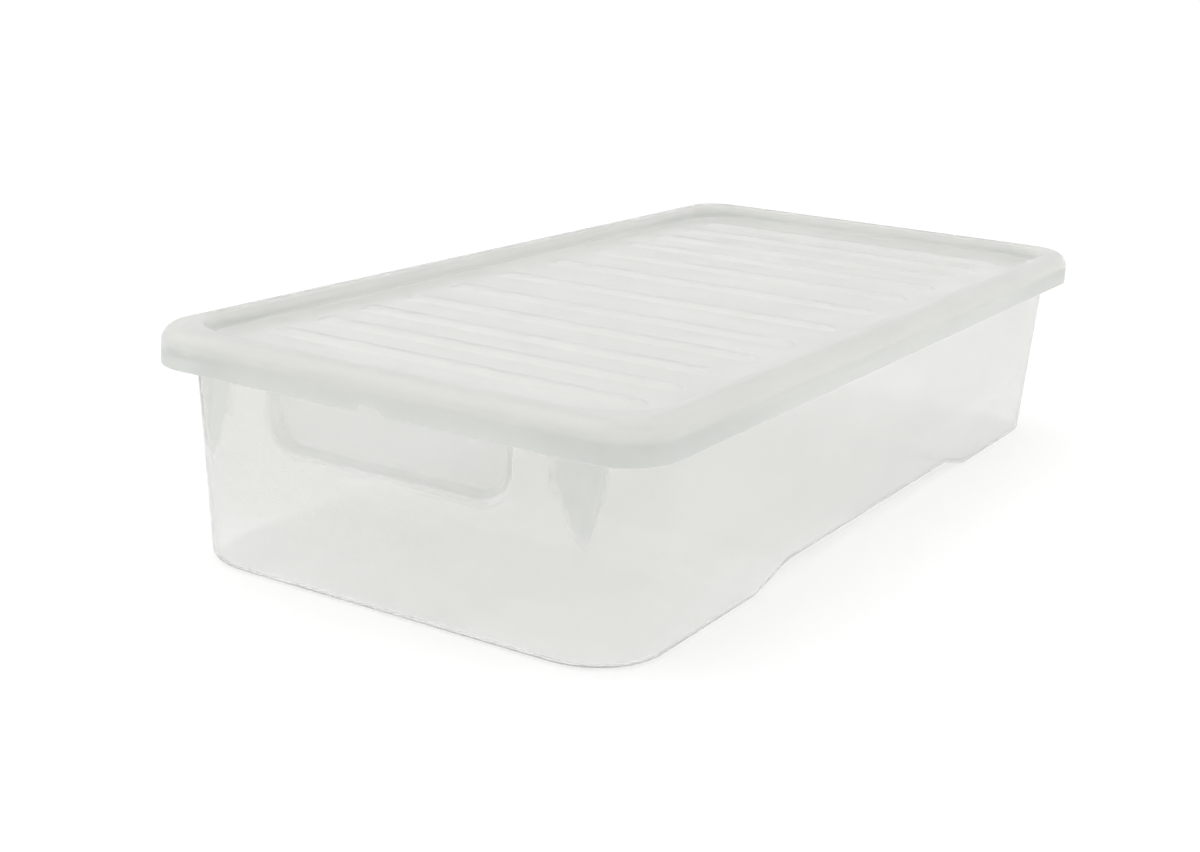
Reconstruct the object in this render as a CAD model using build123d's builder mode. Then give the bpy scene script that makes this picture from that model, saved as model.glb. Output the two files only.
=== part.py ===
"""Clear under bed storage box: a drafted tub with a clip-on lid.

Units are millimetres. +Z is up, +X runs along the box, and the origin is the centre of the
footprint on the floor. The lid is modelled closed.
"""

import os
from itertools import accumulate
from math import cos, radians, sin, tan

from build123d import *

# Overall size over the closed lid
box_length = 790.0
box_width = 390.0
box_height = 164.0

# Tub body: base_* are over the outside at floor level, and the walls lean out as they rise
base_length = 752.0
base_width = 352.0
base_corner = 53.0
base_round = 6.0
rim_corner = 50.0
wall_draft = 2.5
wall = 2.0
floor_thickness = 2.2

# Raised middle of the floor, which leaves a foot across each end
arch_height = 11.5
arch_half_foot = 200.0
arch_half_top = 152.0
arch_round = 30.0

# Hollow rim around the tub, turned down into a lip that the lid's skirt covers
seat_gap = 0.4
lip_bottom = 145.0
lip_length = 784.0
lip_width = 384.0
lip_corner = 36.0
lip_wall = 1.8
rim_round = 10.4

# Hand grip set into each short end, under the rim
grip_width = 190.0
grip_bottom = 92.0
grip_top = 148.0
grip_depth = 12.0
grip_corner = 26.0
grip_round = 8.0
grip_reach = 40.0

# V-shaped pleat in each corner of the tub, two facets that meet in a crease. The crease turns
# from the short end toward the long side, and each facet's slope off it goes from tip to top
pleat_top = 148.0
pleat_tip = 72.0
pleat_depth = 7.0
pleat_turn = 23.0
pleat_end_slopes = (2.0, -8.5)
pleat_side_slopes = (14.0, 26.0)
pleat_end_reach = 60.0
pleat_side_reach = 30.0
pleat_clear = 20.0

# Lid: a skirt that drops over the lip, a rounded shoulder, and a tray sunk inside it
skirt_bottom = 137.0
skirt_draft = 1.0
lid_corner = 39.0
lid_wall = 1.6
shoulder_round = 13.0
tray_depth = 11.0
tray_length = 748.4
tray_width = 348.4
tray_corner = 44.0
tray_draft = 17.0
tray_round = 3.0
tray_edge_round = 3.2

# Ribs across the lid's tray, which stand closer together toward the ends
middle_gap = 74.0
outer_gaps = (68.0, 57.0, 54.0, 50.0, 47.0)
rib_length = 296.0
rib_width = 22.0
rib_height = 3.0
rib_slope = 40.0

# Snap beads inside the lid's skirt, and the finger notch in the middle of each short end
bead_radius = 1.2
bead_stand = 0.9
bead_level = 143.2
end_bead_length = 42.0
end_bead_place = 33.0
side_bead_length = 60.0
side_bead_place = 250.0
notch_width = 20.0
notch_height = 5.0
notch_round = 2.0

# Worked out from the sizes above
rim_top = box_height - lid_wall - seat_gap
tray_floor = box_height - tray_depth
skirt_height = box_height - skirt_bottom
rib_places = list(accumulate((middle_gap / 2, *outer_gaps)))

os.makedirs("parts", exist_ok=True)


def lean(rise: float) -> float:
    """Return how far a wall of the tub moves outward while it rises by the given height."""
    return rise * tan(radians(wall_draft))


def body_corner(level: float) -> float:
    """Return the outside corner radius of the tub's body at a height, tighter toward the rim."""
    return base_corner + (rim_corner - base_corner) * level / (rim_top - lip_wall)


def body_section(level: float, inset: float) -> Sketch:
    """Return the tub's outline at a height, drawn in from the outside of the body by inset."""
    growth = 2 * (lean(level) - inset)
    with BuildSketch(Plane.XY.offset(level)) as section:
        RectangleRounded(base_length + growth, base_width + growth, body_corner(level) - inset)
    return section.sketch


def skin_step(slope: float) -> float:
    """Return the sideways step between the two faces of the lid's skin where each one starts.

    The faces lean by slope degrees from upright and start one wall thickness apart in height.
    """
    return lid_wall * (1 / cos(radians(slope)) - tan(radians(slope)))


def underside_edges(part: Part, top: float) -> ShapeList:
    """Return the edges around an underside, without the seams that run across the arch."""
    low_edges = part.edges().filter_by_position(Axis.Z, -1, top)
    seam_end = arch_half_foot - 1
    return low_edges.filter_by(lambda edge: abs(edge.center().Y) > 1 or abs(edge.center().X) > seam_end)


# Tub: the outside of the body, with the arch under its floor

with BuildPart() as arch_tool:
    with BuildSketch(Plane.XZ) as arch_profile:
        with BuildLine():
            Polyline(
                (-arch_half_foot - arch_height, -arch_height),
                (-arch_half_foot, 0),
                (-arch_half_top, arch_height),
                (arch_half_top, arch_height),
                (arch_half_foot, 0),
                (arch_half_foot + arch_height, -arch_height),
                close=True,
            )
        make_face()
        fillet(arch_profile.vertices().group_by(Axis.Y)[-1], arch_round)
    extrude(amount=base_width, both=True)

with BuildPart() as arch_backing:
    with BuildSketch(Plane.XZ):
        add(arch_profile.sketch)
        offset(amount=floor_thickness, kind=Kind.INTERSECTION)
    extrude(amount=base_width, both=True)

with BuildPart() as body:
    loft([body_section(0, 0), body_section(rim_top - lip_wall, 0)], ruled=True)
    add(arch_tool.part, mode=Mode.SUBTRACT)
    fillet(underside_edges(body, arch_height + 1), base_round)


# Tub: recesses that are cut into the outside and backed by the wall on the inside

def grip_pair(growth: float) -> Part:
    """Return the two hand grip recesses, grown on every side by the given thickness."""
    back = base_length / 2 + lean(grip_top) - grip_depth - growth
    with BuildPart() as grips:
        with BuildSketch(Plane.YZ.offset(back)) as outline:
            with Locations((0, (grip_bottom + grip_top) / 2)):
                Rectangle(grip_width + 2 * growth, grip_top - grip_bottom + 2 * growth)
            fillet(outline.vertices().group_by(Axis.Y)[0], grip_corner + growth)
        extrude(amount=grip_reach)
        fillet(grips.faces().sort_by(Axis.X)[0].edges().sort_by(Axis.Z)[:-1], grip_round + growth)
        mirror(about=Plane.YZ)
    return grips.part


def pleat_set(growth: float) -> Part:
    """Return the four corner pleats, grown by the given thickness."""
    crease_way = (cos(radians(pleat_turn)), sin(radians(pleat_turn)), 0)
    levels = (pleat_tip, pleat_top + growth)
    bites = (0.0, pleat_depth)
    with BuildPart() as pleats:
        for level, bite, end, side in zip(levels, bites, pleat_end_slopes, pleat_side_slopes):
            corner = body_corner(level)
            centre_x = base_length / 2 + lean(level) - corner
            centre_y = base_width / 2 + lean(level) - corner
            crease = corner - bite - growth
            section = Plane(origin=(centre_x, centre_y, level), x_dir=crease_way, z_dir=(0, 0, 1))
            with BuildSketch(section):
                with BuildLine():
                    Polyline(
                        (crease, 0),
                        (crease + pleat_side_reach * tan(radians(side)), pleat_side_reach),
                        (crease + pleat_clear, pleat_side_reach),
                        (crease + pleat_clear, -pleat_end_reach),
                        (crease + pleat_end_reach * tan(radians(end)), -pleat_end_reach),
                        close=True,
                    )
                make_face()
        loft(ruled=True)
        mirror(about=Plane.YZ)
        mirror(about=Plane.XZ)
    return pleats.part


grip_recess = grip_pair(0.0)
grip_backing = grip_pair(wall)
pleat_recess = pleat_set(0.0)
pleat_backing = pleat_set(wall)

# Tub: the space inside

with BuildPart() as cavity:
    loft([body_section(floor_thickness, wall), body_section(rim_top + seat_gap, wall)], ruled=True)
    add(arch_backing.part, mode=Mode.SUBTRACT)
    fillet(underside_edges(cavity, arch_height + floor_thickness + 1), base_round - wall)
    add(grip_backing, mode=Mode.SUBTRACT)
    add(pleat_backing, mode=Mode.SUBTRACT)

with BuildPart() as rim_channel:
    with BuildSketch(Plane.XY.offset(lip_bottom)):
        RectangleRounded(lip_length - 2 * lip_wall, lip_width - 2 * lip_wall, lip_corner - lip_wall)
    extrude(amount=rim_top - lip_wall - lip_bottom)
    fillet(rim_channel.edges().group_by(Axis.Z)[-1], rim_round - lip_wall)

with BuildPart() as tub:
    with BuildSketch(Plane.XY.offset(lip_bottom)):
        RectangleRounded(lip_length, lip_width, lip_corner)
    extrude(amount=rim_top - lip_bottom)
    fillet(tub.edges().group_by(Axis.Z)[-1], rim_round)
    add(rim_channel.part, mode=Mode.SUBTRACT)
    add(body.part)
    add(grip_recess, mode=Mode.SUBTRACT)
    add(pleat_recess, mode=Mode.SUBTRACT)
    add(cavity.part, mode=Mode.SUBTRACT)

tub.part.label = "tub"
export_step(tub.part, "parts/tub.step")

# Lid: the hollow under the skin is the underside of the shoulder around the underside of the tray

with BuildPart() as lid_hollow:
    with BuildSketch(Plane.XY.offset(skirt_bottom)):
        RectangleRounded(box_length - 2 * lid_wall, box_width - 2 * lid_wall, lid_corner - lid_wall)
    extrude(amount=skirt_height - lid_wall, taper=skirt_draft)
    fillet(lid_hollow.edges().group_by(Axis.Z)[-1], shoulder_round - lid_wall)

with BuildPart() as tray_underside:
    with BuildSketch(Plane.XY.offset(tray_floor - lid_wall)):
        step = skin_step(tray_draft)
        RectangleRounded(tray_length + 2 * step, tray_width + 2 * step, tray_corner + step)
    extrude(amount=tray_depth, taper=-tray_draft)
    fillet(tray_underside.edges().group_by(Axis.Z)[0], tray_round + lid_wall)

with BuildPart() as tray_space:
    with BuildSketch(Plane.XY.offset(tray_floor)):
        RectangleRounded(tray_length, tray_width, tray_corner)
    extrude(amount=tray_depth, taper=-tray_draft)
    fillet(tray_space.edges().group_by(Axis.Z)[0], tray_round)


def rib_row(level: float, growth: float) -> Part:
    """Return the row of twelve ribs that start at the given height, widened by growth a side."""
    places = [(side * place, 0) for side in (-1, 1) for place in rib_places]
    with BuildPart() as ribs:
        with BuildSketch(Plane.XY.offset(level)):
            with Locations(*places):
                SlotOverall(rib_length + 2 * growth, rib_width + 2 * growth, rotation=90)
        extrude(amount=rib_height, taper=rib_slope)
    return ribs.part


rib_tops = rib_row(tray_floor, 0.0)
rib_hollows = rib_row(tray_floor - lid_wall, -skin_step(rib_slope))

with BuildPart() as snap_beads:
    bead_inset = lid_wall + bead_stand - bead_radius
    with BuildSketch(Plane.XZ.offset(-end_bead_place)):
        with Locations((box_length / 2 - bead_inset, bead_level)):
            Circle(bead_radius)
    extrude(amount=end_bead_length / 2, both=True)
    with BuildSketch(Plane.YZ.offset(side_bead_place)):
        with Locations((box_width / 2 - bead_inset, bead_level)):
            Circle(bead_radius)
    extrude(amount=side_bead_length / 2, both=True)
    mirror(about=Plane.YZ)
    mirror(about=Plane.XZ)

with BuildPart() as lid:
    with BuildSketch(Plane.XY.offset(skirt_bottom)):
        RectangleRounded(box_length, box_width, lid_corner)
    extrude(amount=skirt_height, taper=skirt_draft)
    fillet(lid.edges().group_by(Axis.Z)[-1], shoulder_round)
    add(lid_hollow.part, mode=Mode.SUBTRACT)
    add(tray_underside.part)
    add(tray_space.part, mode=Mode.SUBTRACT)
    fillet(lid.edges(Select.LAST).group_by(Axis.Z)[-1], tray_edge_round)
    add(rib_tops)
    add(rib_hollows, mode=Mode.SUBTRACT)
    add(snap_beads.part)
    with BuildSketch(Plane.YZ) as notch:
        with Locations((0, skirt_bottom)):
            RectangleRounded(notch_width, 2 * notch_height, notch_round)
    extrude(amount=box_length / 2, both=True, mode=Mode.SUBTRACT)

lid.part.label = "lid"
export_step(lid.part, "parts/lid.step")
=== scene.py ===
"""Clear under bed storage box: the finished look of the tub and its clip-on lid.

Shapes are worked out in millimetres and written to the meshes in metres. +Z is up and +X runs
along the box. Each moulding is one closed skin: a stack of rounded rectangular rings that runs
from the middle of its underside, out around its edge, and back to the middle of its upper side.
"""

import logging
from dataclasses import dataclass
from enum import Enum, IntEnum

import bpy
import numpy as np
from mathutils import Matrix, Vector


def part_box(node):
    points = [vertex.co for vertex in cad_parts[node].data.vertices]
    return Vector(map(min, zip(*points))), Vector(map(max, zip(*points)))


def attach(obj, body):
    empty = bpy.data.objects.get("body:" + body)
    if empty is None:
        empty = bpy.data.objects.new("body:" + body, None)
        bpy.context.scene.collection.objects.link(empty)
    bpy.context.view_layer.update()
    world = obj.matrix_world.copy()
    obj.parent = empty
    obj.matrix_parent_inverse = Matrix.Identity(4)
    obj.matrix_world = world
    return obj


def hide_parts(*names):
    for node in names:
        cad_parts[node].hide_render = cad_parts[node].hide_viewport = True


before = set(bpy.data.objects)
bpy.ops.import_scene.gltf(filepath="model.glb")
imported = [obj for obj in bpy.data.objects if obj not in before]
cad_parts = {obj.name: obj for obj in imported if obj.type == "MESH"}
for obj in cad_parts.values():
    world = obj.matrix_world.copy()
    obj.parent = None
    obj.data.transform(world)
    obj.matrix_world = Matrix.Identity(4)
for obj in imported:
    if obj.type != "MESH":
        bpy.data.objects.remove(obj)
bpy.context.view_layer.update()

METRES = 0.001  # metres in a millimetre
TOUCH = 0.01  # millimetres within which two heights are the same
SQUARE_ON = 0.999  # least outward direction of a point on a straight side, along x or along y
PAINTED_SHADE = "painted_shade"  # attribute that carries the painted shade: how much darker and milkier the plastic is drawn
logger = logging.getLogger("under_bed_box")

Colour = tuple[float, float, float, float]
Pair = tuple[float, float]


class Body(Enum):
    """The moving bodies of the box."""

    TUB = "tub_body"
    LID = "lid_body"


class Slot(Enum):
    """The material slots of the box."""

    TUB = "clear_tub"
    LID = "clear_lid"


class Skin(IntEnum):
    """Which side of a moulding's wall a ring lies on."""

    LOWER = 0
    EDGE = 1
    UPPER = 2


# Curves and steps that the shapes share


def smooth_step(value: np.ndarray) -> np.ndarray:
    """Return 3v^2 - 2v^3, which rises softly from 0 to 1 while v goes from 0 to 1."""
    v = np.clip(value, 0.0, 1.0)
    return v * v * (3.0 - 2.0 * v)


def rounded_ramp(distance: np.ndarray, reach: float) -> np.ndarray:
    """Return a ramp that is 0 before the fold and then rises 1 for 1.

    Within reach r of the fold it is the parabola (d + r)^2 / 4r, which joins the two runs.

    Args:
        distance: Distance d past the fold.
        reach: How far the rounding goes on either side of the fold.

    Returns:
        The height of the ramp at each distance.
    """
    rounding = (distance + reach) ** 2 / (4.0 * reach)
    return np.where(distance < -reach, 0.0, np.where(distance > reach, distance, rounding))


def soft_minimum(a: np.ndarray, b: np.ndarray, width: float) -> np.ndarray:
    """Return (a + b - sqrt((a - b)^2 + w^2)) / 2, the lower of a and b with its corner rounded."""
    return 0.5 * (a + b - np.sqrt((a - b) ** 2 + width**2))


def arc(
    centre: tuple[float, float], radius: float, start: float, end: float, steps: int
) -> tuple[np.ndarray, np.ndarray]:
    """Return points on an arc of a section: half = c + r cos(a), rise = c + r sin(a).

    Args:
        centre: Half length and height of the arc's centre.
        radius: Radius of the arc.
        start: Angle of the first point, in degrees, with 0 outward and 90 up.
        end: Angle of the last point.
        steps: Number of steps between them.

    Returns:
        The half lengths and the heights of the points.
    """
    angle = np.radians(np.linspace(start, end, steps + 1))
    return centre[0] + radius * np.cos(angle), centre[1] + radius * np.sin(angle)


def band(
    half: np.ndarray | float, core: np.ndarray | float, rise: np.ndarray | float, skin: Skin
) -> np.ndarray:
    """Return rings of a section as rows of half length, core half length, height and skin.

    A ring's core is the rectangle that its rounded corners are centred on, so that half length
    less core half length is its corner radius.

    Args:
        half: Half lengths of the rings over their outline.
        core: Half lengths of their cores.
        rise: Heights of the rings.
        skin: Side of the wall that the rings lie on.

    Returns:
        One row for each ring.
    """
    return np.column_stack(np.broadcast_arrays(half, core, rise, float(skin)))


def both_signs(values: np.ndarray) -> np.ndarray:
    """Return the values and their negatives in rising order, each place once."""
    return np.unique(np.concatenate((-values, values)))


@dataclass(frozen=True)
class Lines:
    """The lines that cross every ring of a moulding, in millimetres.

    Attributes:
        along: Where the lines stand on the long sides, as x in rising order.
        across: Where the lines stand on the short sides, as y in rising order.
        turn: Number of steps around each corner.
    """

    along: np.ndarray
    across: np.ndarray
    turn: int

    def layout(self) -> tuple[np.ndarray, np.ndarray, np.ndarray]:
        """Lay the lines out once around, counter-clockwise as seen from above.

        Returns:
            The x, the y and the facing angle of each line. An infinite x or y stands for the
            end of the ring's core, wherever that is on the ring.
        """
        end = np.inf
        quarter = np.pi / 2.0
        sweep = np.linspace(0.0, quarter, self.turn + 1)
        runs: list[tuple[np.ndarray, np.ndarray, np.ndarray]] = []
        sides = (
            (np.full(self.across.size, end), self.across, (end, end)),
            (self.along[::-1], np.full(self.along.size, end), (-end, end)),
            (np.full(self.across.size, -end), self.across[::-1], (-end, -end)),
            (self.along, np.full(self.along.size, -end), (end, -end)),
        )
        for number, (x, y, corner) in enumerate(sides):
            facing = number * quarter
            runs.append((x, y, np.full(x.size, facing)))
            runs.append((np.full(sweep.size, corner[0]), np.full(sweep.size, corner[1]), facing + sweep))
        x, y, facing = (np.concatenate(part) for part in zip(*runs))
        return x, y, facing

    def border(self) -> np.ndarray:
        """Work out which point of a core's grid each line ends on.

        Returns:
            The number of the point, counted along y within x.
        """
        x, y, _ = self.layout()
        columns, rows = self.along.size + 2, self.across.size + 2
        column = np.where(np.isinf(x), np.where(x > 0, columns - 1, 0), np.searchsorted(self.along, x) + 1)
        row = np.where(np.isinf(y), np.where(y > 0, rows - 1, 0), np.searchsorted(self.across, y) + 1)
        return column * rows + row


@dataclass
class Cloud:
    """The points of a moulding, in millimetres, with what is needed to move each one.

    Attributes:
        x: Place along the box.
        y: Place across the box.
        z: Height.
        out_x: Outward direction in plan, 0 on the flat middles.
        out_y: Outward direction in plan, 0 on the flat middles.
        radius: Corner radius of the ring that the point is on.
        skin: Side of the wall.
        painted_shade: How much painted shade the plastic gets here, darker and milkier than a plain wall,
            from 0 to 1.
    """

    x: np.ndarray
    y: np.ndarray
    z: np.ndarray
    out_x: np.ndarray
    out_y: np.ndarray
    radius: np.ndarray
    skin: np.ndarray
    painted_shade: np.ndarray

    def push(self, distance: np.ndarray) -> None:
        """Move every point outward in plan by its own distance."""
        self.x = self.x + self.out_x * distance
        self.y = self.y + self.out_y * distance

    def add_painted_shade(self, amount: np.ndarray) -> None:
        """Add painted shade by an amount, where the point doesn't already have more."""
        self.painted_shade = np.maximum(self.painted_shade, amount)


@dataclass
class Moulding:
    """One injection moulding, a closed skin that is made of rings and two flat middles.

    Attributes:
        name: Name of the finished piece.
        half_length: Half the length over the outside.
        half_width: Half the width over the outside.
        top: Highest point.
    """

    name: str
    half_length: float
    half_width: float
    top: float

    def rings(self) -> np.ndarray:
        """Return the section's rings, from the middle of the underside to the middle of the top."""
        raise NotImplementedError

    def lines(self) -> Lines:
        """Return the lines that cross the rings."""
        raise NotImplementedError

    def form(self, cloud: Cloud) -> None:
        """Move the points into the features that the plain section doesn't have."""
        raise NotImplementedError

    def cloud(self, rings: np.ndarray, lines: Lines) -> Cloud:
        """Work out the points of the two flat middles and of the rings between them.

        A ring's point is its line's place, kept within the core, plus corner radius times the
        line's facing: x = clip(line x, core) + r cos(f), and y the same with sin(f).

        Args:
            rings: The section's rings. The first and last have no corner radius.
            lines: The lines that cross them.

        Returns:
            The points of the lower middle, of the upper middle and then of the rings.
        """
        spare = self.half_length - self.half_width
        flats = []
        for ring in (rings[0], rings[-1]):
            x = np.concatenate(([-ring[1]], lines.along, [ring[1]]))
            y = np.concatenate(([spare - ring[1]], lines.across, [ring[1] - spare]))
            grid = np.meshgrid(x, y, indexing="ij")
            still = np.zeros(grid[0].size)
            x, y = grid[0].ravel(), grid[1].ravel()
            flats.append((x, y, still + ring[2], still, still, still, still + ring[3]))
        line_x, line_y, facing = lines.layout()
        core = rings[1:-1, 1:2]
        radius = rings[1:-1, 0:1] - core
        x = np.clip(line_x, -core, core) + radius * np.cos(facing)
        y = np.clip(line_y, spare - core, core - spare) + radius * np.sin(facing)
        spread = np.broadcast_arrays(
            x, y, rings[1:-1, 2:3], np.cos(facing), np.sin(facing), radius, rings[1:-1, 3:4]
        )
        runs = tuple(part.ravel() for part in spread)
        columns = [np.concatenate(part) for part in zip(*flats, runs)]
        return Cloud(*columns, painted_shade=np.zeros(columns[0].size))

    @staticmethod
    def faces(ring_count: int, lines: Lines) -> list[list[int]]:
        """List the faces that join the points, all facing out of the plastic.

        Args:
            ring_count: Number of rings between the two flat middles.
            lines: The lines that cross them.

        Returns:
            Four points for each face, or three where a corner closes on the core's own corner.
        """
        border = lines.border()
        columns, rows = lines.along.size + 2, lines.across.size + 2
        grid = np.arange(columns * rows).reshape(columns, rows)
        flat = np.stack((grid[:-1, :-1], grid[:-1, 1:], grid[1:, 1:], grid[1:, :-1]), axis=-1).reshape(-1, 4)
        between = 2 * grid.size + np.arange(ring_count * border.size).reshape(ring_count, border.size)
        stack = np.vstack((border, between, grid.size + border))
        following = np.roll(stack, -1, axis=1)
        quads = np.stack((stack[:-1], following[:-1], following[1:], stack[1:]), axis=-1).reshape(-1, 4)
        low_point = quads[:, 0] == quads[:, 1]
        high_point = quads[:, 2] == quads[:, 3]
        faces = flat.tolist() + (grid.size + flat[:, ::-1]).tolist()
        faces += quads[~(low_point | high_point)].tolist()
        faces += quads[low_point][:, 1:].tolist()
        return faces + quads[high_point][:, :3].tolist()

    def build(self) -> bpy.types.Object:
        """Make the moulding's mesh.

        Returns:
            The finished piece, at the origin, with smooth faces.
        """
        rings, lines = self.rings(), self.lines()
        cloud = self.cloud(rings, lines)
        self.form(cloud)
        points = np.column_stack((cloud.x, cloud.y, cloud.z)) * METRES
        mesh = bpy.data.meshes.new(self.name)
        mesh.from_pydata(points.tolist(), [], self.faces(len(rings) - 2, lines))
        mesh.polygons.foreach_set("use_smooth", np.ones(len(mesh.polygons), dtype=bool))
        mesh.attributes.new(PAINTED_SHADE, "FLOAT", "POINT").data.foreach_set("value", cloud.painted_shade.astype(np.float32))
        mesh.update()
        piece = bpy.data.objects.new(self.name, mesh)
        bpy.context.scene.collection.objects.link(piece)
        return piece


@dataclass
class Tub(Moulding):
    """The open tub: drafted walls, an arched floor, corner pleats, hand grips and a hollow rim.

    Attributes:
        foot_inset: How far the foot's outline lies inside the rim's.
        foot_corner: Corner radius at the floor.
        mouth_corner: Corner radius at the mouth.
        draft: Lean of the walls, in degrees.
        wall: Thickness of the walls.
        floor: Thickness of the floor.
        base_round: Radius between the underside and the walls.
        rim_corner: Radius of the corner that the rim's section is carried around.
        rim_wall: Thickness of the rim.
        rim_round: Radius over the rim's bend.
        rim_drop: Height of the rim with its lip.
        arch_height: Rise of the middle of the floor.
        arch_foot: Where the arch starts, from the middle along the box.
        arch_top: Where it ends.
        arch_top_round: Reach of the rounding at its top.
        arch_foot_round: Reach of the rounding at its foot.
        arch_fade: Height at which the wall no longer follows the arch.
        grip_half: Half the width of a hand grip.
        grip_bottom: Lowest point of a grip.
        grip_top: Highest point of a grip.
        grip_depth: Depth of a grip under the rim.
        grip_corner: Radius of its lower corners.
        grip_edge: Width of the soft step around it.
        grip_spill: How far that step starts outside its outline.
        grip_roof: Half the height of the step over it.
        pleat_tip: Height of a pleat's lower end.
        pleat_top: Height of its upper end.
        pleat_depth: Depth of its crease at the top.
        pleat_turn: Direction of the crease from a corner's centre, in degrees from the box's length.
        pleat_end_slopes: Slope of the facet beside the short end, at the tip and the top, in degrees.
        pleat_side_slopes: Slope of the facet beside the long side.
        pleat_end_reach: Furthest that a pleat goes toward the short end's middle.
        pleat_side_limit: Least outward direction along the box of a point that it moves.
        pleat_close: Height in which it closes over its top.
        pleat_start: How far under the tip its facets still round the wall, as a share of its height.
        pleat_round: Rounding where the facets meet the wall.
        pleat_steepest: Least closing speed that a point moving in is given.
        pleat_shade: Fold depth at which a pleat's painted shade is whole.
        pleat_painted_shade: Strength of the painted shade in a pleat.
        grip_painted_shade: Strength of the painted shade in a grip.
        grip_edge_painted_shade: How much stronger the painted shade is along a grip's edge.
    """

    foot_inset: float = 16.0
    foot_corner: float = 53.0
    mouth_corner: float = 50.0
    draft: float = 2.5
    wall: float = 2.0
    floor: float = 2.2
    base_round: float = 6.0
    rim_corner: float = 36.0
    rim_wall: float = 1.8
    rim_round: float = 10.4
    rim_drop: float = 17.0
    arch_height: float = 11.5
    arch_foot: float = 200.0
    arch_top: float = 152.0
    arch_top_round: float = 9.0
    arch_foot_round: float = 5.0
    arch_fade: float = 44.0
    grip_half: float = 95.0
    grip_bottom: float = 92.0
    grip_top: float = 148.0
    grip_depth: float = 12.0
    grip_corner: float = 26.0
    grip_edge: float = 9.0
    grip_spill: float = 1.0
    grip_roof: float = 1.2
    pleat_tip: float = 72.0
    pleat_top: float = 148.0
    pleat_depth: float = 7.0
    pleat_turn: float = 23.0
    pleat_end_slopes: Pair = (2.0, -8.5)
    pleat_side_slopes: Pair = (14.0, 26.0)
    pleat_end_reach: float = 60.0
    pleat_side_limit: float = 0.01
    pleat_close: float = 2.5
    pleat_start: float = 0.12
    pleat_round: float = 0.5
    pleat_steepest: float = 0.2
    pleat_shade: float = 2.0
    pleat_painted_shade: float = 0.7
    grip_painted_shade: float = 0.35
    grip_edge_painted_shade: float = 1.5

    def lean(self, rise: np.ndarray) -> np.ndarray:
        """Return how far the wall moves outward over a rise: rise times tan(draft)."""
        return rise * np.tan(np.radians(self.draft))

    def body_core(self, rise: np.ndarray) -> np.ndarray:
        """Work out the core of the body's outline at a height, half length less corner radius.

        Args:
            rise: Heights on the body.

        Returns:
            The core's half length at each height.
        """
        share = rise / (self.top - self.rim_wall)
        corner = self.foot_corner + (self.mouth_corner - self.foot_corner) * share
        return self.half_length - self.foot_inset + self.lean(rise) - corner

    def body_band(self, half: np.ndarray, rise: np.ndarray, skin: Skin) -> np.ndarray:
        """Return rings that belong to the body, with the core that goes with their height."""
        return band(half, self.body_core(rise), rise, skin)

    def base_arc(
        self, radius: float, seat: float, inset: float, steps: int
    ) -> tuple[np.ndarray, np.ndarray]:
        """Return the rounding between the floor and the leaning wall, from the floor upward.

        Args:
            radius: Radius of the rounding.
            seat: Height of the floor.
            inset: How far the wall lies inside the outside face.
            steps: Number of steps in the arc.

        Returns:
            Half lengths and heights.
        """
        wall_half = self.half_length - self.foot_inset - inset + self.lean(seat + radius)
        centre = (wall_half - radius / np.cos(np.radians(self.draft)), seat + radius)
        return arc(centre, radius, -90.0, -self.draft, steps)

    @staticmethod
    def wall_levels() -> np.ndarray:
        """List the heights of the wall's rings, close together where the grips and pleats are.

        Returns:
            The heights, from the base upward.
        """
        low = np.array([9.0, 12.5, 17.0, 22.0, 28.0, 35.0, 42.0, 49.0, 56.0, 62.0, 66.0])
        middle = np.arange(69.0, 89.0, 3.0)
        grip = np.arange(90.0, 119.0, 2.0)
        high = np.arange(121.0, 143.0, 3.0)
        roof = np.array([144.0, 145.5, 146.5, 147.3, 148.0, 148.7, 149.4, 150.1, 151.0, 153.0, 156.0])
        return np.concatenate((low, middle, grip, high, roof))

    def lines(self) -> Lines:
        """Lay lines that crowd together at the folds of the arch and the sides of the grips.

        Returns:
            The lines along and across the tub.
        """
        clear, end = 14.0, 318.0
        fold = np.linspace(-10.0, 10.0, 11)
        slope = np.linspace(self.arch_top + clear, self.arch_foot - clear, 3)
        middle = np.linspace(0.0, self.arch_top - clear, 9)
        outer = np.linspace(self.arch_foot + 20.0, end, 9)
        runs = (middle, self.arch_top + fold, slope, self.arch_foot + fold, outer)
        side = np.linspace(self.grip_half - 36.0, self.grip_half + 3.0, 20)
        plain = np.concatenate((np.arange(0.0, 51.0, 10.0), np.arange(100.0, 122.0, 2.0)))
        return Lines(both_signs(np.concatenate(runs)), both_signs(np.concatenate((plain, side))), 40)

    def rings(self) -> np.ndarray:
        """Draw the tub's section: underside, outside, rim, inside and floor.

        Returns:
            One row for each ring, as band gives them.
        """
        rise = self.wall_levels()
        wall_half = self.half_length - self.foot_inset + self.lean(rise)
        foot_half, foot_rise = self.base_arc(self.base_round, 0.0, 0.0, 7)
        well_half, well_rise = self.base_arc(self.base_round - self.wall, self.floor, self.wall, 6)
        sole = np.array([0.0, 10.0, 20.0, 30.0, 38.0, 44.0])
        rim_core = self.half_length - self.rim_corner
        bend = (self.half_length - self.rim_round, self.top - self.rim_round)
        hollow_half, hollow_rise = arc(bend, self.rim_round - self.rim_wall, 72.0, 0.0, 8)
        crown_half, crown_rise = arc(bend, self.rim_round, 0.0, 84.0, 10)
        lip_end = self.top - self.rim_drop + self.rim_wall / 2.0
        lip_middle = self.half_length - self.rim_wall / 2.0
        end_half, end_rise = arc((lip_middle, lip_end), self.rim_wall / 2.0, 180.0, 360.0, 6)
        lip_rise = np.linspace(bend[1], lip_end, 4)[1:-1]
        mouth = self.body_core(self.top)
        mouth_half = self.half_length - self.foot_inset + self.lean(self.top)
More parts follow.
